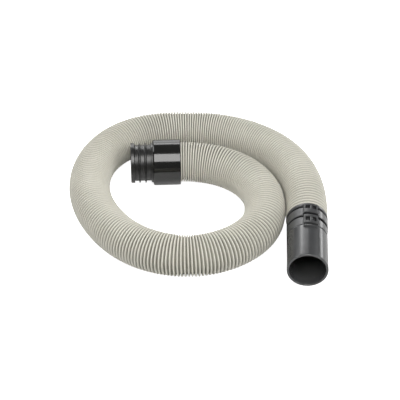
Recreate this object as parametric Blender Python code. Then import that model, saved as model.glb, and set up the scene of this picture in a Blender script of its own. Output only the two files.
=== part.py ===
"""Stretch hose of a vacuum cleaner, lying on a floor in one and a half turns.

The hose is a hollow tube along a smooth route. Its inner end is pushed into a
black machine cuff, a sleeve with a stepped spigot that carries a ribbed rubber
seal. Its outer end butts against a dark grey wand cuff. An insert inside that
cuff reaches into the hose bore and snaps into four windows in the cuff's pad.

Metres, +Z up. Z = 0 is the floor. The origin is at the middle of the object's
box on the floor. The wand cuff's axis runs along Y with its mouth towards -Y.
"""

import math

import bmesh
import bpy
import numpy as np
from mathutils import Matrix, Vector

MM = 0.001

# ---------------------------------------------------------------- dimensions
# Everything below is in millimetres and degrees.

HOSE_R = 20.4            # over the crests of the ribs
HOSE_BORE_R = 16.5
HOSE_STATIONS = 67       # rings along the tube
HOSE_SIDES = 24

ORIGIN = (0.0, -0.065)   # taken off every X and Y below

# Route of the hose's centre line, from the machine cuff to the wand cuff.
ROUTE = [
    (-19.3, 43.05, 23.15),
    (21.0, 38.5, 22.3),
    (51.5, 18.5, 20.8),
    (65.7, -9.5, 20.4),
    (67.6, -32.0, 20.4),
    (63.0, -55.0, 20.4),
    (43.5, -81.0, 20.4),
    (7.5, -99.0, 20.4),
    (-28.0, -98.5, 20.4),
    (-63.0, -82.0, 20.4),
    (-89.0, -53.0, 20.4),
    (-105.0, -17.5, 20.4),
    (-108.5, 19.5, 20.4),
    (-98.5, 55.5, 20.4),
    (-73.5, 84.0, 20.4),
    (-38.0, 98.0, 20.4),
    (0.0, 100.0, 20.4),
    (38.0, 91.5, 20.4),
    (72.0, 71.0, 20.4),
    (94.5, 41.5, 20.4),
    (106.0, 6.0, 20.4),
    (108.8, -27.0, 20.4),
]

# Machine cuff: measured along its axis from the open end, V = 0, to the hose.
MACHINE_ANGLE = 4.6          # its axis, turned from +X towards +Y
MACHINE_AXIS_Z = 23.15
MACHINE_LENGTH = 50.4
MACHINE_HOSE_START = 25.5    # the hose's end inside the sleeve
SLEEVE_R = 23.15
SLEEVE_BORE_R = 20.8
SPIGOT_R = 17.4
SPIGOT_BORE_R = 16.4
SPIGOT_FLANGE_R = 20.3
SPIGOT_STEP_R = 20.2
SEAL_R = 18.35
SEAL_FIN_R = 20.4
SEAL_FINS = (8.9, 15.0)

# Wand cuff: measured along its axis from the mouth, U = 0, to the hose.
WAND_MOUTH = (108.8, -117.3, 20.4)
WAND_ROLL = 8.4              # the pad leans this far to the right of the top
WAND_LENGTH = 76.3
WAND_R = 19.5
WAND_SOCKET_R = 17.4
WAND_STOP_U = 41.0
COLLAR_U = 44.5
COLLAR_R = 19.9
COLLAR_BORE_R = 18.5
BAND_R = 20.4
PAD_R = 22.0
PAD_HALF_ANGLE = 20.0
PAD_U = (41.0, 75.0)
WINDOW_ANGLE = 8.4           # each window's centre, left and right of the pad's
WINDOW_HALF_ANGLE = 5.6
WINDOW_U = ((48.6, 54.6), (66.6, 71.9))
SLOT_U = ((55.3, 58.9), (69.8, 73.0))
PAD_SLOT_U = (57.9, 61.0)
PAD_GROOVE_U = (42.8, 45.2)
FERRULE_R = 18.2
FERRULE_BORE_R = 14.8
FERRULE_SPIGOT_R = 16.2
FERRULE_END_U = 90.3
HOSE_END_U = 76.7            # the hose's end, a hair behind the cuff's rim

LATHE_STEPS = 48


# ------------------------------------------------------------------ helpers
def clear_scene():
    for o in list(bpy.data.objects):
        bpy.data.objects.remove(o, do_unlink=True)
    for block in (bpy.data.meshes, bpy.data.curves, bpy.data.materials):
        for item in list(block):
            if item.users == 0:
                block.remove(item)


def material(name, color, roughness, metallic=0.0):
    m = bpy.data.materials.new(name)
    m.use_nodes = True
    b = m.node_tree.nodes["Principled BSDF"]
    b.inputs["Base Color"].default_value = (*color, 1.0)
    b.inputs["Roughness"].default_value = roughness
    b.inputs["Metallic"].default_value = metallic
    m.diffuse_color = (*color, 1.0)
    return m


def add_object(name, bm, mat=None, smooth_angle=35.0):
    bmesh.ops.recalc_face_normals(bm, faces=bm.faces)
    me = bpy.data.meshes.new(name)
    bm.to_mesh(me)
    bm.free()
    me.shade_smooth()
    me.set_sharp_from_angle(angle=math.radians(smooth_angle))
    if mat:
        me.materials.append(mat)
    o = bpy.data.objects.new(name, me)
    bpy.context.scene.collection.objects.link(o)
    return o


def lathe(name, profile, mat=None, steps=LATHE_STEPS):
    """A closed profile of (radius, distance) turned about the local X axis."""
    bm = bmesh.new()
    vs = [bm.verts.new((u * MM, 0.0, r * MM)) for r, u in profile]
    es = [bm.edges.new((vs[i], vs[(i + 1) % len(vs)])) for i in range(len(vs))]
    bmesh.ops.spin(
        bm,
        geom=vs + es,
        cent=(0, 0, 0),
        axis=(1, 0, 0),
        angle=2 * math.pi,
        steps=steps,
        use_merge=True,
    )
    bmesh.ops.remove_doubles(bm, verts=bm.verts, dist=1e-6)
    return add_object(name, bm, mat)


def wrapped(bm, columns):
    """A plate wrapped round the local X axis, added to bm.

    Each column is (angle from the top, front U, back U, inner R, outer R at the
    front, outer R at the back); positive angles lean towards -Y.
    """
    rings = []
    for a, u0, u1, r0, rf, rb in columns:
        c, s = math.cos(math.radians(a)), -math.sin(math.radians(a))
        rings.append(
            [
                bm.verts.new((u * MM, r * s * MM, r * c * MM))
                for u, r in ((u0, r0), (u1, r0), (u1, rb), (u0, rf))
            ]
        )
    for p, q in zip(rings, rings[1:]):
        for i in range(4):
            j = (i + 1) % 4
            bm.faces.new((p[i], p[j], q[j], q[i]))
    bm.faces.new(rings[0][::-1])
    bm.faces.new(rings[-1])


def arc(a0, a1, step=7.5):
    n = max(1, int(math.ceil(abs(a1 - a0) / step)))
    return [a0 + (a1 - a0) * i / n for i in range(n + 1)]


def band_columns(half, u0, u1, r0, r1, corner=0.0):
    """A band of half-angle half whose ends are rounded off at the front."""
    cols = []
    mean = 0.5 * (r0 + r1)
    turn = math.degrees(corner / mean) if corner else 0.0
    angles = arc(-half + turn, half - turn)
    if corner:
        ease = [1.0, 0.8, 0.55, 0.25]
        angles = (
            [-half + turn * (1 - e) for e in ease]
            + angles
            + [half - turn * (1 - e) for e in ease[::-1]]
        )
    for a in angles:
        x = max(0.0, (abs(a) - (half - turn)) / turn) if turn else 0.0
        lift = corner * (1.0 - math.sqrt(max(0.0, 1.0 - min(x, 1.0) ** 2)))
        cols.append((a, min(u0 + lift, u1 - 1.0), u1, r0, r1, r1))
    return cols


def hide_tool(o):
    o.hide_render = True
    o.display_type = "WIRE"


def boolean(target, tool, operation):
    hide_tool(tool)
    m = target.modifiers.new(operation.title() + "_" + tool.name, "BOOLEAN")
    m.operation = operation
    m.object = tool
    m.solver = "EXACT"


def place(o, location, roll=0.0, heading=0.0):
    """Stands a part whose axis is local X at a point, rolled about that axis."""
    o.rotation_euler = (math.radians(roll), 0.0, math.radians(heading))
    o.location = Vector(
        (
            (location[0] - ORIGIN[0]) * MM,
            (location[1] - ORIGIN[1]) * MM,
            location[2] * MM,
        )
    )


# --------------------------------------------------------------- the route
def smooth_curve(points, start_dir, end_dir, per_span):
    """Points along the twice-smooth cubic through the route points."""
    k = np.array(points, float)
    n = len(k)
    h = np.linalg.norm(np.diff(k, axis=0), axis=1)
    a = np.zeros((n, n))
    b = np.zeros((n, 3))
    a[0, 0] = a[-1, -1] = 1.0
    b[0], b[-1] = start_dir, end_dir
    for i in range(1, n - 1):
        a[i, i - 1], a[i, i], a[i, i + 1] = h[i], 2 * (h[i - 1] + h[i]), h[i - 1]
        b[i] = 3 * (
            h[i] / h[i - 1] * (k[i] - k[i - 1]) + h[i - 1] / h[i] * (k[i + 1] - k[i])
        )
    m = np.linalg.solve(a, b)
    out = []
    for i in range(n - 1):
        for t in np.linspace(0, 1, per_span, endpoint=False):
            out.append(
                (2 * t**3 - 3 * t**2 + 1) * k[i]
                + (t**3 - 2 * t**2 + t) * h[i] * m[i]
                + (3 * t**2 - 2 * t**3) * k[i + 1]
                + (t**3 - t**2) * h[i] * m[i + 1]
            )
    out.append(k[-1])
    return np.array(out)


def machine_dir():
    t = math.radians(MACHINE_ANGLE)
    return np.array([math.cos(t), math.sin(t), 0.0])


def hose_stations(count):
    """Evenly spaced centres along the hose, end face to end face."""
    d = machine_dir()
    sleeve_end = np.array(ROUTE[0], float)
    inside = sleeve_end - d * (MACHINE_LENGTH - MACHINE_HOSE_START)
    end = np.array(WAND_MOUTH, float) + np.array([0.0, HOSE_END_U, 0.0])
    fine = smooth_curve(
        [inside] + ROUTE + [end], d, np.array([0.0, -1.0, 0.0]), 40
    )
    fine[:, 2] = np.maximum(fine[:, 2], HOSE_R)  # it lies on the floor, not in it
    s = np.concatenate([[0], np.cumsum(np.linalg.norm(np.diff(fine, axis=0), axis=1))])
    at = np.linspace(0, s[-1], count)
    return np.column_stack([np.interp(at, s, fine[:, i]) for i in range(3)]), s[-1]


# ------------------------------------------------------------------ pieces
def make_hose(mat):
    """The hose as a hollow tube: an outer and an inner skin on one route."""
    pts, _length = hose_stations(HOSE_STATIONS)
    pts = (pts - np.array([ORIGIN[0], ORIGIN[1], 0.0])) * MM
    tang = np.gradient(pts, axis=0)
    tang[0], tang[-1] = pts[1] - pts[0], pts[-1] - pts[-2]
    d = machine_dir()
    tang[0] = d
    tang[-1] = (0.0, -1.0, 0.0)
    bm = bmesh.new()
    skins = []
    for radius in (HOSE_R, HOSE_BORE_R):
        rings = []
        for p, t in zip(pts, tang):
            t = Vector(t).normalized()
            side = t.cross(Vector((0, 0, 1))).normalized()
            up = side.cross(t).normalized()
            ring = []
            for i in range(HOSE_SIDES):
                a = 2 * math.pi * i / HOSE_SIDES
                v = Vector(p) + (up * math.cos(a) + side * math.sin(a)) * radius * MM
                ring.append(bm.verts.new(v))
            rings.append(ring)
        for r0, r1 in zip(rings, rings[1:]):
            for i in range(HOSE_SIDES):
                j = (i + 1) % HOSE_SIDES
                bm.faces.new((r0[i], r0[j], r1[j], r1[i]))
        skins.append(rings)
    outer, inner = skins
    for k in (0, -1):
        for i in range(HOSE_SIDES):
            j = (i + 1) % HOSE_SIDES
            bm.faces.new((outer[k][i], outer[k][j], inner[k][j], inner[k][i]))
    return add_object("hose", bm, mat)


def make_wand_cuff(mat):
    cuff = lathe(
        "wand_cuff",
        [
            (18.9, 0.0),
            (WAND_R, 0.6),
            (WAND_R, COLLAR_U - 0.4),
            (COLLAR_R, COLLAR_U),
            (COLLAR_R, 73.2),
            (BAND_R, 73.5),
            (BAND_R, WAND_LENGTH - 0.4),
            (BAND_R - 0.4, WAND_LENGTH),
            (COLLAR_BORE_R + 0.2, WAND_LENGTH),
            (COLLAR_BORE_R, WAND_LENGTH - 0.3),
            (COLLAR_BORE_R, 43.5),
            (16.0, 43.5),
            (16.0, WAND_STOP_U),
            (WAND_SOCKET_R, WAND_STOP_U),
            (WAND_SOCKET_R + 0.15, 1.0),
            (17.95, 0.0),
        ],
        mat,
    )
    bands = bmesh.new()
    wrapped(bands, band_columns(68.0, COLLAR_U, 56.0, 19.0, BAND_R, 5.0))
    bands_front = add_object("wand_band_front", bands)
    bands = bmesh.new()
    wrapped(bands, band_columns(88.0, 58.2, 70.0, 19.0, BAND_R))
    bands_rear = add_object("wand_band_rear", bands)
    pad = bmesh.new()
    wrapped(
        pad,
        [
            (a, PAD_U[0], PAD_U[1], 19.0, PAD_R, PAD_R)
            for a in arc(-PAD_HALF_ANGLE, PAD_HALF_ANGLE, 5.0)
        ],
    )
    pad = add_object("wand_pad", pad)
    cutters = []
    bm = bmesh.new()
    for side in (-1, 1):
        for n, (u0, u1) in enumerate(SLOT_U):
            far = 80.0 if n == 0 else 84.0
            wrapped(
                bm,
                [
                    (side * a, u0, u1, COLLAR_BORE_R - 0.6, 21.2, 21.2)
                    for a in arc(PAD_HALF_ANGLE - 1.0 + 2.0 * n, far, 6.0)
                ],
            )
    cutters.append(add_object("wand_side_slots", bm))
    bm = bmesh.new()
    wrapped(
        bm,
        [
            (a, PAD_SLOT_U[0], PAD_SLOT_U[1], COLLAR_BORE_R - 0.6, 23.0, 23.0)
            for a in arc(-PAD_HALF_ANGLE - 1.5, PAD_HALF_ANGLE + 1.5, 6.0)
        ],
    )
    cutters.append(add_object("wand_pad_slot", bm))
    bm = bmesh.new()
    wrapped(
        bm,
        [
            (a, PAD_GROOVE_U[0], PAD_GROOVE_U[1], 20.1, 23.0, 23.0)
            for a in arc(-PAD_HALF_ANGLE - 1.5, PAD_HALF_ANGLE + 1.5, 6.0)
        ],
    )
    cutters.append(add_object("wand_pad_groove", bm))
    bm = bmesh.new()
    for u0, u1 in WINDOW_U:
        for side in (-1, 1):
            c = side * WINDOW_ANGLE
            wrapped(
                bm,
                [
                    (c + a, u0, u1, COLLAR_BORE_R - 0.6, 23.0, 23.0)
                    for a in (-WINDOW_HALF_ANGLE, 0.0, WINDOW_HALF_ANGLE)
                ],
            )
    cutters.append(add_object("wand_windows", bm))
    for part in (bands_front, bands_rear, pad):
        boolean(cuff, part, "UNION")
    for part in cutters:
        boolean(cuff, part, "DIFFERENCE")
    for o in [cuff, bands_front, bands_rear, pad] + cutters:
        place(o, WAND_MOUTH, WAND_ROLL, 90.0)
    return cuff


def make_wand_ferrule(mat):
    ferrule = lathe(
        "wand_ferrule",
        [
            (16.6, 43.9),
            (FERRULE_R, 44.9),
            (FERRULE_R, 75.4),
            (FERRULE_R - 0.3, WAND_LENGTH),
            (FERRULE_SPIGOT_R, WAND_LENGTH),
            (FERRULE_SPIGOT_R, FERRULE_END_U - 0.8),
            (FERRULE_SPIGOT_R - 0.6, FERRULE_END_U),
            (FERRULE_BORE_R, FERRULE_END_U),
            (FERRULE_BORE_R, 45.4),
            (FERRULE_BORE_R + 1.0, 43.9),
        ],
        mat,
    )
    bm = bmesh.new()
    for u0, u1 in WINDOW_U:
        for side in (-1, 1):
            c = side * WINDOW_ANGLE
            wrapped(
                bm,
                [
                    (c + a, u0 + 0.6, u1 - 0.6, 17.0, 18.8, 20.7)
                    for a in (-WINDOW_HALF_ANGLE + 1.3, 0.0, WINDOW_HALF_ANGLE - 1.3)
                ],
            )
    barbs = add_object("ferrule_barbs", bm)
    boolean(ferrule, barbs, "UNION")
    for o in (ferrule, barbs):
        place(o, WAND_MOUTH, WAND_ROLL, 90.0)
    return ferrule


def machine_open_end():
    d = machine_dir()
    return np.array(ROUTE[0], float) - d * MACHINE_LENGTH


def make_machine_cuff(mat):
    cuff = lathe(
        "machine_cuff",
        [
            (SPIGOT_FLANGE_R - 0.4, 0.0),
            (SPIGOT_FLANGE_R, 0.4),
            (SPIGOT_FLANGE_R, 3.6),
            (SPIGOT_FLANGE_R - 0.3, 3.9),
            (SPIGOT_R, 3.9),
            (SPIGOT_R, 20.9),
            (SPIGOT_STEP_R, 20.9),
            (SPIGOT_STEP_R, 22.3),
            (SLEEVE_R - 0.3, 23.1),
            (SLEEVE_R, 23.6),
            (SLEEVE_R, MACHINE_LENGTH - 0.4),
            (SLEEVE_R - 0.3, MACHINE_LENGTH),
            (SLEEVE_BORE_R + 0.3, MACHINE_LENGTH),
            (SLEEVE_BORE_R, MACHINE_LENGTH - 0.5),
            (SLEEVE_BORE_R, 25.0),
            (SPIGOT_BORE_R, 25.0),
            (SPIGOT_BORE_R, 0.5),
            (SPIGOT_BORE_R + 0.4, 0.0),
        ],
        mat,
    )
    place(cuff, machine_open_end(), 0.0, MACHINE_ANGLE)
    return cuff


def make_spigot_seal(mat):
    profile = [(SEAL_R, 4.2)]
    for v in SEAL_FINS:
        profile += [
            (SEAL_R, v - 0.8),
            (SEAL_FIN_R, v - 0.4),
            (SEAL_FIN_R, v + 0.4),
            (SEAL_R, v + 0.8),
        ]
    profile += [(SEAL_R, 20.6), (SPIGOT_R + 0.3, 20.6), (SPIGOT_R + 0.3, 4.2)]
    seal = lathe("spigot_seal", profile, mat)
    place(seal, machine_open_end(), 0.0, MACHINE_ANGLE)
    return seal


def main():
    clear_scene()
    hose_mat = material("hose_ribbed", (0.52, 0.50, 0.43), 0.55)
    grey = material("wand_cuff_grey", (0.10, 0.10, 0.10), 0.35)
    dark = material("ferrule_dark", (0.02, 0.02, 0.02), 0.5)
    black = material("machine_cuff_black", (0.012, 0.012, 0.011), 0.12)
    rubber = material("seal_rubber", (0.02, 0.02, 0.02), 0.45)
    make_hose(hose_mat)
    make_wand_cuff(grey)
    make_wand_ferrule(dark)
    make_machine_cuff(black)
    make_spigot_seal(rubber)


main()
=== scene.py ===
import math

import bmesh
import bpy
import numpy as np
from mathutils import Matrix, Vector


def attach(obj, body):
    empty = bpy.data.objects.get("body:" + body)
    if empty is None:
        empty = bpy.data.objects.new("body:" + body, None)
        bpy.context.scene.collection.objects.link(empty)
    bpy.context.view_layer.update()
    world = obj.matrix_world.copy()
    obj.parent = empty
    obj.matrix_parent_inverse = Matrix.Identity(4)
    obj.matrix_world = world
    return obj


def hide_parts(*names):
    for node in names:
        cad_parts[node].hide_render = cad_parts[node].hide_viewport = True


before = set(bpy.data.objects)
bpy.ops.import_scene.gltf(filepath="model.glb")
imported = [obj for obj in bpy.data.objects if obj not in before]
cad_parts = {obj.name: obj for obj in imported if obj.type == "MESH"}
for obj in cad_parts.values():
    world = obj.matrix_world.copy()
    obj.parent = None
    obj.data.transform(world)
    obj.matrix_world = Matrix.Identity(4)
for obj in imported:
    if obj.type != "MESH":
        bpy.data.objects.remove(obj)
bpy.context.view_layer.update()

# Looks of a vacuum cleaner's stretch hose that lies on a white floor.
#
# Order: camera, the ribbed hose on its route, the wand cuff with its latch
# pad, the ferrule inside it, the machine cuff with its rubber seal, then the
# floor and the lights. Sizes are in millimetres and turned into metres by MM.

MM = 0.001
SHIFT = np.array([0.0, 0.065, 0.0])      # the route's own frame to the object's

# ------------------------------------------------------------- dimensions
HOSE_R = 20.4                # over the ribs
RIB_DEPTH = 2.95
RIB_SPACING = 2.95           # where the ribs' own width is a fixed share of it
HOSE_BORE_R = 16.62
HOSE_SIDES = 48
ROUTE = [
    (-19.3, 43.05, 23.15),
    (21.0, 38.5, 22.3),
    (51.5, 18.5, 20.8),
    (65.7, -9.5, 20.4),
    (67.6, -32.0, 20.4),
    (63.0, -55.0, 20.4),
    (43.5, -81.0, 20.4),
    (7.5, -99.0, 20.4),
    (-28.0, -98.5, 20.4),
    (-63.0, -82.0, 20.4),
    (-89.0, -53.0, 20.4),
    (-105.0, -17.5, 20.4),
    (-108.5, 19.5, 20.4),
    (-98.5, 55.5, 20.4),
    (-73.5, 84.0, 20.4),
    (-38.0, 98.0, 20.4),
    (0.0, 100.0, 20.4),
    (38.0, 91.5, 20.4),
    (72.0, 71.0, 20.4),
    (94.5, 41.5, 20.4),
    (106.0, 6.0, 20.4),
    (108.8, -27.0, 20.4),
]
# Distance from the sleeve's end and the spacing of the ribs there: the hose is
# drawn out a little where it bends hardest, and most where the wand pulls it.
RIB_PITCH = [
    (0.0, 2.67),
    (20.0, 2.70),
    (37.0, 2.86),
    (57.0, 3.10),
    (90.0, 3.30),
    (133.0, 3.42),
    (157.0, 3.29),
    (188.0, 3.12),
    (240.0, 2.94),
    (306.0, 2.89),
    (342.0, 2.97),
    (469.0, 2.95),
    (510.0, 2.88),
    (527.0, 2.72),
    (547.0, 2.60),
    (595.0, 2.50),
    (618.0, 2.63),
    (643.0, 2.78),
    (694.0, 3.15),
    (725.0, 3.55),
    (745.0, 3.95),
    (773.0, 4.10),
]
MACHINE_ANGLE = 4.6
MACHINE_LENGTH = 50.4
MACHINE_HOSE_START = 25.5
WAND_MOUTH = (108.8, -117.3, 20.4)
WAND_ROLL = 8.4
WAND_LENGTH = 76.3
HOSE_END_U = 76.42


# ------------------------------------------------------------------ camera
def make_camera():
    data = bpy.data.cameras.new("camera")
    data.sensor_width = 36.0
    data.sensor_fit = "HORIZONTAL"
    data.lens = 153.0
    data.clip_start, data.clip_end = 0.05, 20.0
    cam = bpy.data.objects.new("camera", data)
    bpy.context.scene.collection.objects.link(cam)
    cam.location = Vector((0.0559, -1.33243, 1.0741))
    aim = Vector((0.0020, 0.01057, 0.0))
    cam.rotation_euler = (aim - cam.location).to_track_quat("-Z", "Y").to_euler()
    bpy.context.scene.camera = cam


# --------------------------------------------------------------- materials
class Nodes:
    """A Principled material whose nodes are added one call at a time."""

    def __init__(self, name):
        self.mat = bpy.data.materials.new(name)
        self.mat.use_nodes = True
        self.tree = self.mat.node_tree
        self.bsdf = self.tree.nodes["Principled BSDF"]
        self.coord = self.add("ShaderNodeTexCoord")

    def add(self, kind, **values):
        n = self.tree.nodes.new(kind)
        for k, v in values.items():
            setattr(n, k, v)
        return n

    def link(self, a, b):
        self.tree.links.new(a, b)

    def noise(self, scale, detail=3.0, rough=0.5, stretch=None):
        n = self.add("ShaderNodeTexNoise")
        n.inputs["Scale"].default_value = scale
        n.inputs["Detail"].default_value = detail
        n.inputs["Roughness"].default_value = rough
        source = self.coord.outputs["Object"]
        if stretch:
            m = self.add("ShaderNodeMapping")
            m.inputs["Scale"].default_value = stretch
            self.link(source, m.inputs["Vector"])
            source = m.outputs["Vector"]
        self.link(source, n.inputs["Vector"])
        return n.outputs["Fac"]

    def span(self, value, lo, hi, frm=(0.3, 0.7)):
        n = self.add("ShaderNodeMapRange")
        n.inputs["From Min"].default_value = frm[0]
        n.inputs["From Max"].default_value = frm[1]
        n.inputs["To Min"].default_value = lo
        n.inputs["To Max"].default_value = hi
        self.link(value, n.inputs["Value"])
        return n.outputs["Result"]

    def ramp(self, value, stops):
        n = self.add("ShaderNodeValToRGB")
        r = n.color_ramp
        while len(r.elements) < len(stops):
            r.elements.new(0.5)
        for e, (pos, col) in zip(r.elements, stops):
            e.position = pos
            e.color = (*col, 1.0)
        self.link(value, n.inputs["Fac"])
        return n.outputs["Color"]

    def mix(self, factor, a, b, blend="MIX"):
        n = self.add("ShaderNodeMix", data_type="RGBA", blend_type=blend)
        if isinstance(factor, float):
            n.inputs["Factor"].default_value = factor
        else:
            self.link(factor, n.inputs["Factor"])
        for socket, v in ((n.inputs[6], a), (n.inputs[7], b)):
            if isinstance(v, tuple):
                socket.default_value = (*v, 1.0)
            else:
                self.link(v, socket)
        return n.outputs[2]

    def attribute(self, name):
        n = self.add("ShaderNodeAttribute", attribute_name=name)
        return n.outputs["Fac"]

    def bump(self, height, distance, strength=1.0, normal=None):
        n = self.add("ShaderNodeBump")
        n.inputs["Distance"].default_value = distance
        n.inputs["Strength"].default_value = strength
        self.link(height, n.inputs["Height"])
        if normal is not None:
            self.link(normal, n.inputs["Normal"])
        return n.outputs["Normal"]


def hose_material():
    """Soft light vinyl drawn over a wire spiral, with painted shade in its grooves."""
    m = Nodes("hose_vinyl")
    tone = m.ramp(
        m.noise(22.0, 4.0, 0.55),
        [(0.30, (0.612, 0.597, 0.526)), (0.70, (0.662, 0.648, 0.576))],
    )
    fine = m.ramp(
        m.noise(900.0, 2.0, 0.6), [(0.25, (0.93, 0.93, 0.92)), (0.75, (1.0, 1.0, 1.0))]
    )
    tone = m.mix(0.6, tone, fine, "MULTIPLY")
    # painted shade: the groove attribute, made patchy by noise, mixes the vinyl towards dark brown
    # in the grooves
    groove = m.attribute("groove")
    patchy = m.span(m.noise(60.0, 3.0, 0.6), 0.78, 1.0)
    painted_groove_shade = m.add("ShaderNodeMath", operation="MULTIPLY")
    m.link(groove, painted_groove_shade.inputs[0])
    m.link(patchy, painted_groove_shade.inputs[1])
    tone = m.mix(painted_groove_shade.outputs[0], tone, (0.085, 0.079, 0.058))
    m.link(tone, m.bsdf.inputs["Base Color"])
    m.link(m.span(m.noise(140.0, 4.0, 0.6), 0.36, 0.50), m.bsdf.inputs["Roughness"])
    grain = m.bump(m.noise(2600.0, 3.0, 0.6), 0.00006, 0.5)
    soft = m.bump(m.noise(420.0, 3.0, 0.5), 0.00025, 0.35, grain)
    m.link(soft, m.bsdf.inputs["Normal"])
    m.bsdf.inputs["IOR"].default_value = 1.47
    m.bsdf.inputs["Subsurface Weight"].default_value = 0.06
    m.bsdf.inputs["Subsurface Radius"].default_value = (1.0, 0.9, 0.7)
    m.bsdf.inputs["Subsurface Scale"].default_value = 0.0012
    return m.mat


def wand_material():
    """Dark grey moulded plastic with a fine satin grain."""
    m = Nodes("wand_cuff_grey")
    tone = m.ramp(
        m.noise(45.0, 4.0, 0.55),
        [(0.30, (0.040, 0.041, 0.042)), (0.70, (0.050, 0.051, 0.053))],
    )
    edge = m.span(m.attribute("worn"), 0.0, 0.5, (0.0, 1.0))
    rubbed = m.add("ShaderNodeMath", operation="MULTIPLY")
    m.link(edge, rubbed.inputs[0])
    m.link(m.span(m.noise(320.0, 3.0, 0.6), 0.3, 1.0), rubbed.inputs[1])
    tone = m.mix(rubbed.outputs[0], tone, (0.10, 0.10, 0.10))
    # painted shade: the inward attribute darkens the pad's groove and the slots' walls almost to
    # black
    painted_recess_shade = m.span(m.attribute("inward"), 0.0, 0.92, (0.02, 0.40))
    tone = m.mix(painted_recess_shade, tone, (0.006, 0.006, 0.006))
    # the socket's inside is painted lighter towards its far end
    lighter_far_end = m.span(m.attribute("socket"), 0.0, 0.4, (0.1, 1.0))
    tone = m.mix(lighter_far_end, tone, (0.15, 0.15, 0.14))
    m.link(tone, m.bsdf.inputs["Base Color"])
    sheen = m.span(m.noise(180.0, 4.0, 0.6, (1.0, 0.35, 1.0)), 0.15, 0.22)
    # the collar's moulding is coarser than the tube's
    satin = m.add("ShaderNodeMath", operation="MULTIPLY_ADD")
    m.link(m.attribute("collar"), satin.inputs[0])
    satin.inputs[1].default_value = 0.16
    m.link(sheen, satin.inputs[2])
    dull = m.add("ShaderNodeMath", operation="MULTIPLY_ADD")
    m.link(m.attribute("inward"), dull.inputs[0])
    dull.inputs[1].default_value = 0.5
    m.link(satin.outputs[0], dull.inputs[2])
    m.link(dull.outputs[0], m.bsdf.inputs["Roughness"])
    m.bsdf.inputs["IOR"].default_value = 1.58
    grain = m.bump(m.noise(3200.0, 2.0, 0.5), 0.00005, 0.45)
    drawn = m.bump(m.noise(900.0, 2.0, 0.5, (1.0, 0.08, 1.0)), 0.00003, 0.4, grain)
    m.link(drawn, m.bsdf.inputs["Normal"])
    return m.mat


def black_material():
    """Polished black plastic with faint moulding ripple and hairline marks."""
    m = Nodes("machine_cuff_black")
    tone = m.ramp(
        m.noise(35.0, 3.0, 0.5),
        [(0.30, (0.0065, 0.0065, 0.0060)), (0.70, (0.0100, 0.0100, 0.0092))],
    )
    m.link(tone, m.bsdf.inputs["Base Color"])
    satin = m.attribute("satin")
    gloss = m.span(m.noise(90.0, 5.0, 0.65), 0.09, 0.15)
    dull = m.span(m.noise(140.0, 4.0, 0.6), 0.28, 0.36)
    blend = m.add("ShaderNodeMix", data_type="FLOAT")
    m.link(satin, blend.inputs[0])
    m.link(gloss, blend.inputs[2])
    m.link(dull, blend.inputs[3])
    m.link(blend.outputs[0], m.bsdf.inputs["Roughness"])
    ripple = m.bump(m.noise(70.0, 2.0, 0.4), 0.00022, 0.25)
    marks = m.bump(m.noise(1500.0, 3.0, 0.6, (0.15, 1.0, 1.0)), 0.00002, 0.35, ripple)
    m.link(marks, m.bsdf.inputs["Normal"])
    m.bsdf.inputs["IOR"].default_value = 1.60
    return m.mat


def rubber_material():
    """Black sealing rubber, dull with a dry bloom."""
    m = Nodes("seal_rubber")
    tone = m.ramp(
        m.noise(160.0, 4.0, 0.6),
        [(0.30, (0.007, 0.007, 0.007)), (0.70, (0.013, 0.013, 0.012))],
    )
    m.link(tone, m.bsdf.inputs["Base Color"])
    m.bsdf.inputs["IOR"].default_value = 1.58
    m.link(m.span(m.noise(260.0, 4.0, 0.6), 0.29, 0.40), m.bsdf.inputs["Roughness"])
    m.link(m.bump(m.noise(1800.0, 3.0, 0.6), 0.00008, 0.5), m.bsdf.inputs["Normal"])
    return m.mat


def ferrule_material():
    """Near-black inner moulding."""
    m = Nodes("ferrule_dark")
    tone = m.ramp(
        m.noise(120.0, 3.0, 0.5),
        [(0.30, (0.012, 0.012, 0.013)), (0.70, (0.020, 0.020, 0.021))],
    )
    tone = m.mix(m.attribute("bore"), tone, (0.085, 0.083, 0.078))
    m.link(tone, m.bsdf.inputs["Base Color"])
    m.link(m.span(m.noise(200.0, 3.0, 0.6), 0.38, 0.52), m.bsdf.inputs["Roughness"])
    m.link(m.bump(m.noise(2400.0, 2.0, 0.5), 0.00006, 0.5), m.bsdf.inputs["Normal"])
    return m.mat


# ------------------------------------------------------------------- route
def smooth_curve(points, start_dir, end_dir, per_span):
    """Points along the twice-smooth cubic through the route points."""
    k = np.array(points, float)
    n = len(k)
    h = np.linalg.norm(np.diff(k, axis=0), axis=1)
    a = np.zeros((n, n))
    b = np.zeros((n, 3))
    a[0, 0] = a[-1, -1] = 1.0
    b[0], b[-1] = start_dir, end_dir
    for i in range(1, n - 1):
        a[i, i - 1], a[i, i], a[i, i + 1] = h[i], 2 * (h[i - 1] + h[i]), h[i - 1]
        b[i] = 3 * (
            h[i] / h[i - 1] * (k[i] - k[i - 1]) + h[i - 1] / h[i] * (k[i + 1] - k[i])
        )
    m = np.linalg.solve(a, b)
    out = []
    for i in range(n - 1):
        for t in np.linspace(0, 1, per_span, endpoint=False):
            out.append(
                (2 * t**3 - 3 * t**2 + 1) * k[i]
                + (t**3 - 2 * t**2 + t) * h[i] * m[i]
                + (3 * t**2 - 2 * t**3) * k[i + 1]
                + (t**3 - t**2) * h[i] * m[i + 1]
            )
    out.append(k[-1])
    return np.array(out)


def machine_dir():
    t = math.radians(MACHINE_ANGLE)
    return np.array([math.cos(t), math.sin(t), 0.0])


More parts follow.
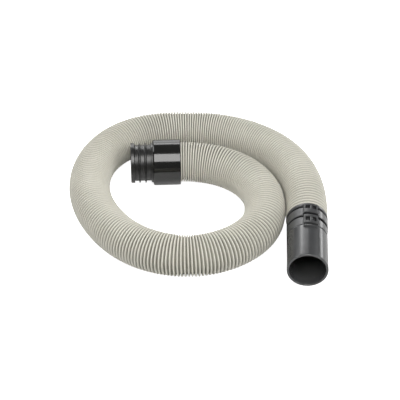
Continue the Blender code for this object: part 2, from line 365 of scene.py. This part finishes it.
class Line:
    """The hose's centre line in millimetres, read by distance along it."""

    def __init__(self):
        d = machine_dir()
        inside = np.array(ROUTE[0], float) - d * (MACHINE_LENGTH - MACHINE_HOSE_START)
        end = np.array(WAND_MOUTH, float) + np.array([0.0, HOSE_END_U, 0.0])
        p = smooth_curve([inside] + ROUTE + [end], d, np.array([0.0, -1.0, 0.0]), 60)
        p[:, 2] = np.maximum(p[:, 2], HOSE_R)
        self.p = p + SHIFT
        self.s = np.concatenate(
            [[0], np.cumsum(np.linalg.norm(np.diff(p, axis=0), axis=1))]
        )
        self.length = self.s[-1]
        t = np.gradient(self.p, self.s, axis=0)
        t[0], t[-1] = d, (0.0, -1.0, 0.0)
        self.t = t / np.linalg.norm(t, axis=1)[:, None]
        bend = np.gradient(self.t, self.s, axis=0)
        even = np.ones(25) / 25
        self.bend = np.stack(
            [np.convolve(np.pad(bend[:, i], 12, "edge"), even, "valid") for i in range(3)],
            -1,
        )

    def at(self, s):
        """Centre, up and side vectors at each distance."""
        c = np.stack([np.interp(s, self.s, self.p[:, i]) for i in range(3)], -1)
        t = np.stack([np.interp(s, self.s, self.t[:, i]) for i in range(3)], -1)
        t /= np.linalg.norm(t, axis=-1)[..., None]
        side = np.cross(t, [0.0, 0.0, 1.0])
        side /= np.linalg.norm(side, axis=-1)[..., None]
        return c, np.cross(side, t), side

    def stretch(self, s, a):
        """How far the skin at angle a is drawn out by the bend, over the middle."""
        _c, up, side = self.at(s)
        k = np.stack([np.interp(s, self.s, self.bend[:, i]) for i in range(3)], -1)
        out = up * np.cos(a)[None, :, None] + side * np.sin(a)[None, :, None]
        at, pitch = zip(*RIB_PITCH)
        spacing = np.interp(s - (MACHINE_LENGTH - MACHINE_HOSE_START), at, pitch)
        return (1.0 - HOSE_R * np.sum(out * k, axis=-1)) * spacing / RIB_SPACING


# ---------------------------------------------------------------- mesh help
def mesh_object(name, verts, faces, mat, body="root", smooth=35.0, attributes=None):
    """A mesh piece from points in millimetres."""
    me = bpy.data.meshes.new(name)
    me.from_pydata((np.asarray(verts) * MM).tolist(), [], faces)
    me.validate()
    me.update()
    for key, values in (attributes or {}).items():
        a = me.attributes.new(key, "FLOAT", "POINT")
        a.data.foreach_set("value", np.asarray(values, np.float32))
    bm = bmesh.new()
    bm.from_mesh(me)
    bmesh.ops.recalc_face_normals(bm, faces=bm.faces)
    bm.to_mesh(me)
    bm.free()
    me.shade_smooth()
    me.set_sharp_from_angle(angle=math.radians(smooth))
    me.materials.append(mat)
    o = bpy.data.objects.new(name, me)
    bpy.context.scene.collection.objects.link(o)
    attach(o, body)
    return o


def fillet(profile, segments=4):
    """Rounds a closed profile's corners: each point is (radius, distance, round)."""
    p = [np.array(q[:2], float) for q in profile]
    out = []
    n = len(p)
    for i in range(n):
        c, rad = p[i], profile[i][2]
        a, b = p[i - 1] - c, p[(i + 1) % n] - c
        la, lb = np.linalg.norm(a), np.linalg.norm(b)
        if rad <= 0 or la < 1e-9 or lb < 1e-9:
            out.append(c)
            continue
        cosine = np.clip(np.dot(a, b) / la / lb, -1, 1)
        half = math.acos(cosine) / 2
        cut = min(rad / max(math.tan(half), 1e-3), 0.48 * la, 0.48 * lb)
        s, e = c + a / la * cut, c + b / lb * cut
        for k in range(segments + 1):
            t = k / segments
            # a conic arc between the two tangent points
            w = math.sin(half)
            den = (1 - t) ** 2 + 2 * w * t * (1 - t) + t**2
            out.append(((1 - t) ** 2 * s + 2 * w * t * (1 - t) * c + t**2 * e) / den)
    return out


def turned(name, profile, to_world, mat, steps=128, cell=1.6, attributes=None):
    """A filleted profile turned about a cuff's axis; long runs get extra rings."""
    ring = fillet(profile)
    full = []
    for i, a in enumerate(ring):
        b = ring[(i + 1) % len(ring)]
        parts = max(1, int(np.linalg.norm(b - a) / (cell * 3)))
        full += [a + (b - a) * k / parts for k in range(parts)]
    ang = np.linspace(0, 2 * math.pi, steps, endpoint=False)
    verts = np.concatenate(
        [to_world(np.full(steps, q[1]), ang, np.full(steps, q[0])) for q in full]
    )
    n = len(full)
    faces = []
    for i in range(n):
        j = (i + 1) % n
        for k in range(steps):
            m = (k + 1) % steps
            faces.append((i * steps + k, i * steps + m, j * steps + m, j * steps + k))
    values = {
        key: np.concatenate([np.full(steps, rule(q[0], q[1])) for q in full])
        for key, rule in (attributes or {}).items()
    }
    return mesh_object(name, verts, faces, mat, attributes=values)


def wand_world(u, angle, r):
    """Point on the wand cuff: distance from the mouth, angle from the pad, radius."""
    a = np.asarray(angle) + math.radians(WAND_ROLL)
    x = WAND_MOUTH[0] + r * np.sin(a)
    y = WAND_MOUTH[1] + np.asarray(u)
    z = WAND_MOUTH[2] + r * np.cos(a)
    return np.stack([x, y, z], -1) + SHIFT


def machine_world(v, angle, r):
    """Point on the machine cuff: distance from its open end, angle, radius."""
    d = machine_dir()
    side = np.array([d[1], -d[0], 0.0])
    c = np.array(ROUTE[0], float) - d * MACHINE_LENGTH + SHIFT
    v, angle, r = (np.asarray(q, float)[..., None] for q in (v, angle, r))
    up = np.array([0.0, 0.0, 1.0])
    return c + d * v + (side * np.sin(angle) + up * np.cos(angle)) * r


# -------------------------------------------------------------------- hose
def rib_count(line):
    """Turns of the rib up to each distance along the centre line."""
    sleeve = MACHINE_LENGTH - MACHINE_HOSE_START
    s = line.s
    at, pitch = zip(*RIB_PITCH)
    p = np.interp(s - sleeve, at, pitch)
    # no two ribs are quite alike
    p = p * (
        1
        + 0.018 * np.sin(s * 0.113 + 0.7)
        + 0.014 * np.sin(s * 0.271 + 2.1)
        + 0.020 * np.sin(s * 0.71 + 4.0)
    )
    p = np.where(s < sleeve - 4.0, 9.0, p)      # out of sight in the sleeve
    return np.concatenate([[0], np.cumsum(np.diff(s) / (0.5 * (p[1:] + p[:-1])))])


def skin(line, turns, sides, profile, depth_of):
    """One helical skin: its points by column, clipped square at both ends."""
    total = turns[-1]
    per = len(profile)
    rows = (int(math.ceil(total)) + 3) * per
    k = np.arange(rows)
    a = 2 * math.pi * np.arange(sides) / sides
    lead = np.arange(sides)[None, :] / sides
    whole = (k // per - 1)[:, None] + lead
    # a rib keeps its width where the hose bends: only the grooves open or close
    stretch = line.stretch(np.interp(np.clip(whole, 0.0, total), turns, line.s), a)
    phase = np.array([q[0] for q in profile])[k % per][:, None]
    near = np.minimum(phase, 1.0 - phase) / stretch
    near = np.where(near > 0.40, 0.40 + 0.07 * np.tanh((near - 0.40) / 0.07), near)
    phase = np.where(phase < 0.49, near, np.where(phase > 0.51, 1.0 - near, 0.5))
    n = whole + phase
    clip = np.clip(n, 0.0, total)
    s = np.interp(clip, turns, line.s)
    # a point that is clipped takes the depth that the rib has there
    fx = np.array([q[0] for q in profile] + [1.0])
    fy = np.array([q[1] for q in profile] + [profile[0][1]])
    cut = np.interp(np.mod(clip - lead, 1.0), fx, fy)
    rel = np.where(clip == n, np.array([q[1] for q in profile])[k % per][:, None], cut)
    radius = depth_of(rel, s, clip)
    c, up, side = line.at(s)
    out = c + (
        up * np.cos(a)[None, :, None] + side * np.sin(a)[None, :, None]
    ) * radius[..., None]
    # painted groove shade: darker where a groove is drawn open and shows more of its bottom
    shade = rel * np.interp(stretch, [0.80, 0.95, 1.15, 1.4], [0.78, 0.88, 0.95, 0.95])
    # the painted groove shade is lighter on the stretch that lies nearest
    shade = shade * (1.0 - 0.20 * np.exp(-(((s - 272.0) / 38.0) ** 2)))
    return n, total, out, shade, per


def stitch(n, total, out, rel, per, start):
    """Numbers a skin's points, merging what its square ends clip, and its faces."""
    rows, sides = n.shape
    index = np.full((rows, sides), -1, int)
    verts, values = [], []
    first, last = [], []
    count = start
    for i in range(sides):
        col = n[:, i]
        lo, hi = col <= 0.0, col >= total
        first.append(count)
        index[lo, i] = count
        verts.append(out[np.nonzero(lo)[0][-1], i])
        values.append(rel[np.nonzero(lo)[0][-1], i])
        count += 1
        mid = np.nonzero(~lo & ~hi)[0]
        index[mid, i] = count + np.arange(len(mid))
        verts.extend(out[mid, i])
        values.extend(rel[mid, i])
        count += len(mid)
        last.append(count)
        index[hi, i] = count
        verts.append(out[np.nonzero(hi)[0][0], i])
        values.append(rel[np.nonzero(hi)[0][0], i])
        count += 1
    faces = []
    for i in range(sides):
        a = index[:, i]
        b = index[:, i + 1] if i + 1 < sides else np.concatenate(
            [index[per:, 0], np.full(per, last[0])]
        )
        for r in range(rows - 1):
            q = (a[r], a[r + 1], b[r + 1], b[r])
            if q[0] == q[1]:
                q = q[1:]
                if q[1] == q[2]:
                    continue
            elif q[2] == q[3]:
                q = q[:3]
            faces.append(tuple(int(x) for x in q))
    return verts, values, faces, first, last, count


def make_hose(mat):
    line = Line()
    turns = rib_count(line)
    sleeve = MACHINE_LENGTH - MACHINE_HOSE_START

    def outer(rel, s, turn):
        fade = np.clip((s - (sleeve - 3.5)) / 2.0, 0.0, 1.0)
        height = 1.0 + 0.04 * np.sin(turn * 2.3) * np.sin(turn * 0.37 + 1.0)
        return HOSE_R - 0.04 - RIB_DEPTH * rel * height * fade - 0.25 * (1 - fade)

    def inner(rel, s, turn):
        return HOSE_BORE_R + 1.0 * (1.0 - rel)

    ribs = [(0.0, 0.0), (0.19, 0.10), (0.31, 0.60), (0.5, 1.0), (0.69, 0.60), (0.81, 0.10)]
    bore = [(0.0, 0.0), (0.33, 0.6), (0.67, 0.6)]
    o = stitch(*skin(line, turns, HOSE_SIDES, ribs, outer), 0)
    i = stitch(*skin(line, turns, HOSE_SIDES // 2, bore, inner), o[5])
    verts = o[0] + i[0]
    # the groove attribute carries the painted groove shade; the bore's inner skin takes a fixed
    # share of it
    values = list(o[1]) + [0.35] * len(i[0])
    faces = o[2] + i[2]
    for ring_o, ring_i in ((o[3], i[3]), (o[4], i[4])):
        half = HOSE_SIDES // 2
        for k in range(half):
            m = (k + 1) % half
            faces.append(
                (
                    ring_o[2 * k],
                    ring_o[2 * k + 1],
                    ring_o[(2 * k + 2) % HOSE_SIDES],
                    ring_i[m],
                    ring_i[k],
                )
            )
    hose = mesh_object("ribbed_hose", verts, faces, mat, smooth=80.0, attributes={"groove": values})
    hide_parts("hose")
    return hose, line


# --------------------------------------------------------------- wand cuff
WAND_HOLES = [
    # middle U, middle angle, half length in U, half width round, corner
    (51.6, -8.4, 3.0, 2.0, 0.5),
    (51.6, 8.4, 3.0, 2.0, 0.5),
    (69.25, -8.4, 2.65, 2.0, 0.5),
    (69.25, 8.4, 2.65, 2.0, 0.5),
    (59.45, 0.0, 1.55, 7.7, 0.3),
    (57.1, 50.0, 1.8, 10.7, 1.6),
    (57.3, -49.0, 1.15, 10.4, 1.1),
    (71.4, 52.5, 1.6, 11.2, 1.5),
    (71.4, -52.5, 1.4, 11.2, 1.3),
]


def box_depth(u, a, cu, ca, hu, ha, corner):
    """How far a point lies inside a rounded rectangle on the unrolled cuff."""
    qu, qa = np.abs(u - cu) - (hu - corner), np.abs(a - ca) - (ha - corner)
    out = np.hypot(np.maximum(qu, 0), np.maximum(qa, 0)) + np.minimum(
        np.maximum(qu, qa), 0
    )
    return corner - out


def ease(x):
    x = np.clip(x, 0, 1)
    return x * x * (3 - 2 * x)


def lines(edges, fine, lo, hi):
    """Grid lines: a fine even spacing plus every named edge, none too close."""
    values = list(edges)
    for x in np.arange(lo, hi + 1e-6, fine):
        if all(abs(x - e) > fine * 0.45 for e in edges):
            values.append(x)
    return sorted(values)


def make_wand_cuff(mat):
    roll = 20.4                       # radius on which the cuff is unrolled
    deg = math.degrees(1.0 / roll)    # degrees for each millimetre round it
    u = (
        [0.0, 0.1, 0.3, 0.6, 1.2, 4.0, 8.0, 12.0, 16.0, 20.0, 24.0, 28.0, 32.0, 36.0]
        + [38.5, 40.0, 40.5]
        + lines(
            [40.75, 41.0, 41.3, 42.8, 43.5, 43.7, 45.2, 48.6, 54.6, 55.3, 57.9]
            + [58.9, 61.0, 66.6, 69.8, 71.9, 73.0, 74.6, 75.0],
            0.4,
            41.9,
            75.6,
        )
        + [WAND_LENGTH - 0.3, WAND_LENGTH - 0.12, WAND_LENGTH]
    )
    u = np.array(u)
    edges = [-84.0, -80.0, -20.0, -14.0, -2.8, 2.8, 14.0, 20.0, 80.0, 84.0]
    theta = lines(edges, 1.25, -93.0, 93.0) + list(np.arange(97.0, 263.5, 4.0))
    theta = np.array(theta)
    a = theta / deg                   # millimetres round the cuff
    uu, aa = np.meshgrid(u, a, indexing="ij")
    # cells whose middle lies in a hole are left open
    cu = 0.5 * (u[1:] + u[:-1])
    wrap = np.append(a, a[0] + 360.0 / deg)
    ca = 0.5 * (wrap[1:] + wrap[:-1])
    cuu, caa = np.meshgrid(cu, ca, indexing="ij")
    hole = np.zeros(cuu.shape, bool)
    for hu0, hang, hl, hw, hc in WAND_HOLES:
        hole |= box_depth(cuu, caa, hu0, hang / deg, hl, hw, hc) > 0

    def hole_depth(x, y):
        return np.max(
            [box_depth(x, y, h[0], h[1] / deg, h[2], h[3], h[4]) for h in WAND_HOLES],
            axis=0,
        )

    # pull the rim of each hole onto its true outline
    nu, na = uu.shape
    touch_hole = np.zeros((nu, na), bool)
    touch_solid = np.zeros((nu, na), bool)
    for i0, i1 in ((0, nu - 1), (1, nu)):
        for shift in (0, 1):
            block = np.roll(hole, shift, axis=1)
            touch_hole[i0:i1] |= block
            touch_solid[i0:i1] |= ~block
    rim = touch_hole & touch_solid
    eps = 1e-3
    d = hole_depth(uu, aa)
    gu = (hole_depth(uu + eps, aa) - hole_depth(uu - eps, aa)) / (2 * eps)
    ga = (hole_depth(uu, aa + eps) - hole_depth(uu, aa - eps)) / (2 * eps)
    g2 = np.maximum(gu**2 + ga**2, 0.25)
    move = np.clip(d, -0.45, 0.45)
    uu = np.where(rim, uu - move * gu / g2, uu)
    aa = np.where(rim, aa - move * ga / g2, aa)

    d = hole_depth(uu, aa)
    angle = np.abs(((aa * deg + 180.0) % 360.0) - 180.0)
    side = angle / deg
    r = 19.5 + 0.4 * ease((uu - 44.1) / 0.5)
    front = box_depth(uu, side, 53.0, 0.0, 8.5, 68.0 / deg, 5.0)
    front = np.minimum(front, 56.0 - uu)
    rear = box_depth(uu, side, 64.1, 0.0, 5.9, 88.0 / deg, 1.0)
    r = np.maximum(r, r + (20.4 - r) * ease(front / 0.4))
    # a fine shadow line runs round the band's front edge
    r = r - 0.35 * np.exp(-(((front + 0.25) / 0.3) ** 2)) * (uu < 56.0)
    r = np.maximum(r, 19.9 + 0.5 * ease(rear / 0.4))
    r = np.maximum(r, 19.9 + 0.5 * ease((uu - 73.0) / 0.4))
    pad = box_depth(uu, side, 58.0, 0.0, 17.0, 20.0 / deg, 0.9)
    r = np.maximum(r, r + (22.0 - r) * ease((pad + 0.25) / 0.85))
    groove = np.minimum(ease((uu - 42.6) / 0.5), ease((45.4 - uu) / 0.5))
    r = np.where(pad > -0.3, np.minimum(r, 22.0 - 1.9 * groove * (side < 20.6 / deg)), r)
    lip = np.interp(uu, [0.0, 0.1, 0.3, 0.6], [0.55, 0.3, 0.08, 0.0])
    tail = np.interp(WAND_LENGTH - uu, [0.0, 0.12, 0.3, 0.5], [0.5, 0.2, 0.06, 0.0])
    rounding = 0.28 * (1 - ease(np.minimum(-d, 0.6) / 0.55))
    r = r - lip - tail - rounding
    ri = np.interp(
        uu,
        [0.0, 0.1, 0.3, 0.6, 1.2, 40.5, 40.75, 43.5, 43.7, 76.0, WAND_LENGTH],
        [17.98, 17.8, 17.66, 17.58, 17.54, 17.4, 16.0, 16.0, 18.5, 18.5, 18.7],
    )
    ang = np.radians(aa * deg)
    outer = wand_world(uu, ang, r).reshape(-1, 3)
    inner = wand_world(uu, ang, ri).reshape(-1, 3)
    verts = np.concatenate([outer, inner])
    off = nu * na
    faces = []
    grid = np.arange(off).reshape(nu, na)

    def cell(i, j):
        m = (j + 1) % na
        return grid[i, j], grid[i + 1, j], grid[i + 1, m], grid[i, m]

    for i in range(nu - 1):
        for j in range(na):
            if hole[i, j]:
                p, q, s, t = cell(i, j)
                if i == 0 or not hole[i - 1, j]:
                    faces.append((p, t, t + off, p + off))
                if i == nu - 2 or not hole[i + 1, j]:
                    faces.append((q, s, s + off, q + off))
                if not hole[i, j - 1]:
                    faces.append((p, q, q + off, p + off))
                if not hole[i, (j + 1) % na]:
                    faces.append((t, s, s + off, t + off))
                continue
            p, q, s, t = cell(i, j)
            faces.append((p, q, s, t))
            faces.append((p + off, t + off, s + off, q + off))
    for j in range(na):
        m = (j + 1) % na
        faces.append((grid[0, j], grid[0, m], grid[0, m] + off, grid[0, j] + off))
        faces.append((grid[-1, j], grid[-1, m], grid[-1, m] + off, grid[-1, j] + off))
    faces = [tuple(int(x) for x in f) for f in faces]
    # where fingers and the floor rub: the pad's edges and the mouth's lip
    worn = np.maximum(
        ease(1 - np.abs(pad - 0.15) / 0.5) * (r > 21.2), ease((1.0 - uu) / 0.8)
    )
    worn = np.concatenate([worn.reshape(-1), 0 * worn.reshape(-1)])
    # painted shade: the slots' walls and the pad's groove darken inwards, and the socket's inside
    # is painted lighter towards its far end
    painted_recess_shade = (1.0 * groove * (pad > 0.4)).reshape(-1)
    inward = np.concatenate([painted_recess_shade, (uu > 42.0).reshape(-1) * 1.0])
    worn_side = 0.1 + 0.9 * ease((30.0 - (((aa * deg + 180.0) % 360.0) - 180.0)) / 18.0)
    collar = np.tile((ease((uu - 43.6) / 0.8) * worn_side).reshape(-1), 2)
    far = np.clip(uu / 41.0, 0, 1) * (uu < 42.0)
    socket = np.concatenate([0 * uu.reshape(-1), far.reshape(-1)])
    used = np.zeros(2 * off, bool)
    used[np.concatenate([np.array(f) for f in faces])] = True
    renumber = np.cumsum(used) - 1
    faces = [tuple(int(renumber[x]) for x in f) for f in faces]
    cuff = mesh_object(
        "wand_cuff_shell", verts[used], faces, mat, smooth=38.0,
        attributes={
            "worn": worn[used],
            "inward": inward[used],
            "collar": collar[used],
            "socket": socket[used],
        },
    )
    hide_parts("wand_cuff")
    return cuff


def make_ferrule(mat):
    """The insert that grips the hose, with four barbs that fill the windows."""
    ring = turned(
        "ferrule_insert",
        [
            (16.6, 43.9, 0.2),
            (18.2, 44.9, 0.3),
            (18.2, 76.3, 0.3),
            (16.2, 76.3, 0.2),
            (16.2, 90.3, 0.4),
            (14.8, 90.3, 0.3),
            (14.8, 45.0, 0.3),
            (15.6, 43.9, 0.2),
        ],
        wand_world,
        mat,
        steps=96,
        # the bore is painted lighter than the rest
        attributes={"bore": lambda r, v: 1.0 if r < 15.7 else 0.0},
    )
    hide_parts("wand_ferrule")
    verts, faces = [], []
    for u0, u1 in ((48.6, 54.6), (66.6, 71.9)):
        for c in (-8.4, 8.4):
            start = len(verts)
            us = np.linspace(u0 + 0.55, u1 - 0.55, 7)
            an = np.radians(np.linspace(c - 4.3, c + 4.3, 6))
            for k, x in enumerate(us):
                edge = min(k, len(us) - 1 - k) == 0
                top = 18.7 + (20.5 - 18.7) * (k / (len(us) - 1)) - 0.25 * edge
                for q, y in enumerate(an):
                    side = 0.2 if q in (0, len(an) - 1) else 0.0
                    verts.append(wand_world(x, y, top - side))
            rows, cols = len(us), len(an)
            low = len(verts)
            for x in us:
                for y in an:
                    verts.append(wand_world(x, y, 17.9))
            for i in range(rows - 1):
                for j in range(cols - 1):
                    p = start + i * cols + j
                    faces.append((p, p + 1, p + cols + 1, p + cols))
                    p = low + i * cols + j
                    faces.append((p, p + cols, p + cols + 1, p + 1))
            gap = low - start
            loop = (
                [start + j for j in range(cols)]
                + [start + i * cols + cols - 1 for i in range(1, rows)]
                + [start + (rows - 1) * cols + j for j in range(cols - 2, -1, -1)]
                + [start + i * cols for i in range(rows - 2, 0, -1)]
            )
            for k, p in enumerate(loop):
                q = loop[(k + 1) % len(loop)]
                faces.append((p, p + gap, q + gap, q))
    barbs = mesh_object("ferrule_barbs", np.array(verts), faces, mat)
    return ring, barbs


# ------------------------------------------------------------ machine cuff
def make_machine_cuff(mat):
    cuff = turned(
        "machine_cuff_shell",
        [
            (20.3, 0.0, 0.4),
            (20.3, 3.9, 0.4),
            (17.4, 3.9, 0.2),
            (17.4, 20.7, 0.0),
            (20.2, 20.7, 0.35),
            (20.2, 22.3, 0.25),
            (22.6, 22.8, 0.5),
            (23.15, 23.6, 0.5),
            (23.15, 50.4, 0.7),
            (20.8, 50.4, 0.4),
            (20.8, 25.0, 0.3),
            (16.4, 25.0, 0.4),
            (16.4, 0.0, 0.7),
        ],
        machine_world,
        mat,
        steps=144,
        # the stepped spigot has a satin finish, the sleeve is polished
        attributes={"satin": lambda r, v: 1.0 if v < 22.5 else 0.0},
    )
    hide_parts("machine_cuff")
    return cuff


def make_seal(mat):
    profile = [(18.35, 4.0, 0.3)]
    for v in (8.9, 15.0):
        profile += [
            (18.35, v - 0.95, 0.5),
            (20.4, v - 0.4, 0.28),
            (20.4, v + 0.4, 0.28),
            (18.35, v + 0.95, 0.5),
        ]
    profile += [(18.35, 20.65, 0.1), (17.45, 20.65, 0.0), (17.45, 4.0, 0.0)]
    seal = turned("ribbed_seal", profile, machine_world, mat, steps=128)
    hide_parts("spigot_seal")
    return seal


# --------------------------------------------------------- floor and lights
def make_floor():
    m = Nodes("floor_white")
    tone = m.ramp(
        m.noise(3.0, 3.0, 0.5),
        [(0.30, (0.86, 0.86, 0.86)), (0.70, (0.89, 0.89, 0.89))],
    )
    m.link(tone, m.bsdf.inputs["Base Color"])
    m.link(m.span(m.noise(40.0, 3.0, 0.5), 0.85, 0.95), m.bsdf.inputs["Roughness"])
    m.link(m.bump(m.noise(400.0, 2.0, 0.5), 0.0001, 0.1), m.bsdf.inputs["Normal"])
    # a white sweep that glows to the camera's eye only, burnt out except between the loops, where
    # no light gets down to it and a painted shadow cuts the glow, and a plain white floor to all
    # else
    # painted contact shade: the glow fades where the ambient occlusion closes in
    open_sky = m.add("ShaderNodeAmbientOcclusion", samples=16)
    open_sky.inputs["Distance"].default_value = 0.012
    seen = m.span(open_sky.outputs["AO"], 0.0, 1.0, (0.0, 0.03))
    # painted shadow by position: the slit runs along Y between the outer loop and the inner one
    where = m.add("ShaderNodeSeparateXYZ")
    m.link(m.coord.outputs["Object"], where.inputs["Vector"])
    lit = m.span(where.outputs["Y"], 1.0, 0.0, (-0.0165, -0.0110))
    for side, lo, hi, frm in (
        ("Y", 0.0, 1.0, (0.036, 0.042)),
        ("X", 1.0, 0.0, (0.080, 0.083)),
        ("X", 0.0, 1.0, (0.093, 0.096)),
    ):
        either = m.add("ShaderNodeMath", operation="MAXIMUM")
        m.link(lit, either.inputs[0])
        m.link(m.span(where.outputs[side], lo, hi, frm), either.inputs[1])
        lit = either.outputs[0]
    both = m.add("ShaderNodeMath", operation="MULTIPLY")
    m.link(seen, both.inputs[0])
    m.link(lit, both.inputs[1])
    seen = both.outputs[0]
    glow = m.add("ShaderNodeMix", data_type="FLOAT")
    m.link(m.add("ShaderNodeLightPath").outputs["Is Camera Ray"], glow.inputs[0])
    glow.inputs[2].default_value = 0.0
    m.link(seen, glow.inputs[3])
    m.link(glow.outputs[0], m.bsdf.inputs["Emission Strength"])
    m.bsdf.inputs["Emission Color"].default_value = (1.0, 1.0, 1.0, 1.0)
    m.bsdf.inputs["Specular IOR Level"].default_value = 0.1
    me = bpy.data.meshes.new("floor")
    s = 4.0
    me.from_pydata(
        [(-s, -s, 0), (s, -s, 0), (s, s, 0), (-s, s, 0)], [], [(0, 1, 2, 3)]
    )
    me.materials.append(m.mat)
    o = bpy.data.objects.new("floor", me)
    bpy.context.scene.collection.objects.link(o)
    return o


def area(name, azimuth, elevation, distance, width, height, strength, color=(1, 1, 1)):
    """A soft box that faces the object. Azimuth 0 is behind the camera, at -Y."""
    data = bpy.data.lights.new(name, "AREA")
    data.shape = "RECTANGLE"
    data.size, data.size_y = width, height
    data.energy = strength
    data.color = color
    o = bpy.data.objects.new(name, data)
    bpy.context.scene.collection.objects.link(o)
    a, e = math.radians(azimuth), math.radians(elevation)
    back = Vector((math.sin(a) * math.cos(e), -math.cos(a) * math.cos(e), math.sin(e)))
    o.location = back * distance
    o.rotation_euler = (-back).to_track_quat("-Z", "Y").to_euler()
    return o


def make_lights():
    world = bpy.data.worlds.new("studio")
    bpy.context.scene.world = world
    world.use_nodes = True
    back = world.node_tree.nodes["Background"]
    back.inputs["Color"].default_value = (0.96, 0.98, 1.0, 1.0)
    back.inputs["Strength"].default_value = 0.13
    area("key_box", 2.0, 61.5, 1.5, 0.9, 1.05, 19.2, (1.0, 0.99, 0.975))
    area("right_window", 70.0, 35.0, 1.6, 0.9, 0.8, 8.0, (0.99, 1.0, 1.0))
    area("left_fill", 290.0, 35.0, 1.6, 0.9, 0.8, 0.5)
    area("left_back_window", 235.0, 35.0, 1.6, 0.9, 0.8, 7.6, (0.99, 1.0, 1.0))
    area("right_back_fill", 125.0, 35.0, 1.6, 0.9, 0.8, 1.4)
    # what the polished cuffs mirror: a pale backdrop, a small lamp and a strip
    area("backdrop", 191.5, 19.0, 2.0, 1.26, 1.15, 8.0)
    area("backdrop_top", 183.0, 36.5, 1.8, 0.55, 0.26, 1.8)
    area("small_lamp", 198.0, 31.0, 1.8, 0.32, 0.30, 2.4)
    area("low_strip", 142.0, 4.5, 2.2, 0.8, 0.35, 4.35)
    view = bpy.context.scene.view_settings
    view.view_transform = "Standard"
    view.look = "None"
    view.exposure = 0.0
    view.gamma = 1.0


# -------------------------------------------------------------------- build
make_camera()
hose, line = make_hose(hose_material())
cuff = make_wand_cuff(wand_material())
dark = ferrule_material()
ferrule, barbs = make_ferrule(dark)
machine = make_machine_cuff(black_material())
seal = make_seal(rubber_material())
step = 6
path = line.p[::step]
if (len(line.p) - 1) % step:
    path = np.concatenate([path, line.p[-1:]])
make_floor()
make_lights()
